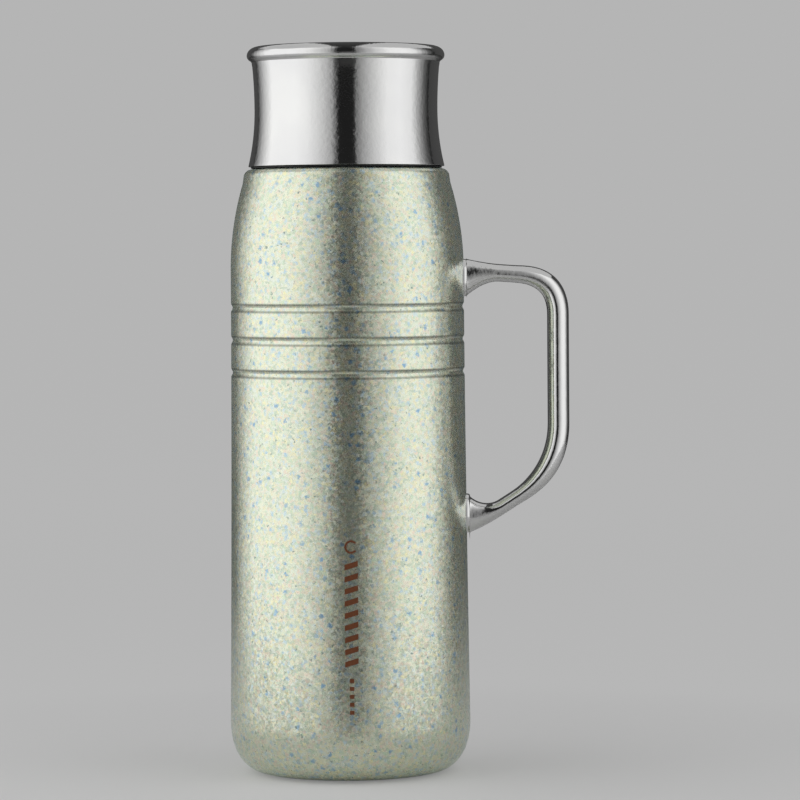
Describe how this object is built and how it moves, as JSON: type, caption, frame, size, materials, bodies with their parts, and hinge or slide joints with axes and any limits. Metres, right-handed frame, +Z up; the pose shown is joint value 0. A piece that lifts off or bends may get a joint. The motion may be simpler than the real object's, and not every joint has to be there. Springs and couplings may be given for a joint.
{
  "type": "vacuum flask",
  "caption": "Tall double-walled vacuum flask with a speckled coat, rolled grooves, a polished waisted screw lid, a side handle and a push-button pour stopper.",
  "frame": {"origin": "centre of the underside of the foot pad, on the axis of the body", "axes": "+Z up along the body axis, +X towards the handle, -Y towards the side with the printed stripe"},
  "size_m": [0.1412, 0.0994, 0.3],
  "materials": {
    "speckled_coat": "glossy speckled powder coat with a metallic glint",
    "polished_steel": "polished stainless steel with a faint ripple",
    "satin_steel": "satin stainless steel",
    "copper": "bright copper foil",
    "getter": "sintered grey powder metal",
    "seal_glass": "dark solder glass",
    "black_plastic": "fine moulded texture",
    "grey_plastic": "fine moulded texture",
    "foam": "open-cell insulating foam",
    "silicone": "translucent white silicone",
    "dark_silicone": "matt dark silicone"
  },
  "bodies": {
    "flask": {"outer_shell": "speckled_coat", "shell_bottom": "satin_steel", "vacuum_seal_bead": "seal_glass", "base_cap": "satin_steel", "foot_pad": "dark_silicone", "liner_neck": "satin_steel", "inner_liner": "satin_steel", "liner_bottom": "satin_steel", "copper_foil": "copper", "getter_clip": "satin_steel", "getter_pellet": "getter", "neck_collar": "black_plastic", "handle_bar": "polished_steel", "upper_handle_foot": "polished_steel", "lower_handle_foot": "polished_steel"},
    "lid": {"lid_shell": "polished_steel", "lid_top_plate": "polished_steel", "lid_insulation": "foam", "lid_liner": "black_plastic"},
    "stopper": {"stopper_body": "grey_plastic", "stopper_insulation": "foam", "stopper_deck": "grey_plastic", "stopper_cover": "black_plastic", "stopper_main_seal": "silicone", "button_spring": "satin_steel"},
    "button": {"pour_button": "grey_plastic", "button_seal": "silicone", "valve_stem": "satin_steel", "valve_head": "grey_plastic", "valve_seal": "silicone"}
  },
  "joints": [
    {"name": "lid_lift", "type": "slide", "parent": "flask", "child": "lid", "axis": [0, 0, 1], "range_m": [0, 0.16]},
    {"name": "stopper_lift", "type": "slide", "parent": "flask", "child": "stopper", "axis": [0, 0, 1], "range_m": [0, 0.06]},
    {"name": "button_press", "type": "slide", "parent": "stopper", "child": "button", "axis": [0, 0, -1], "range_m": [0, 0.004], "stiffness_N_per_m": 700, "springref_m": -0.006, "deforming": ["button_spring"]}
  ],
  "couplings": [
    {"joint": "stopper_lift", "follows": "lid_lift", "ratio": 0.375}
  ]
}
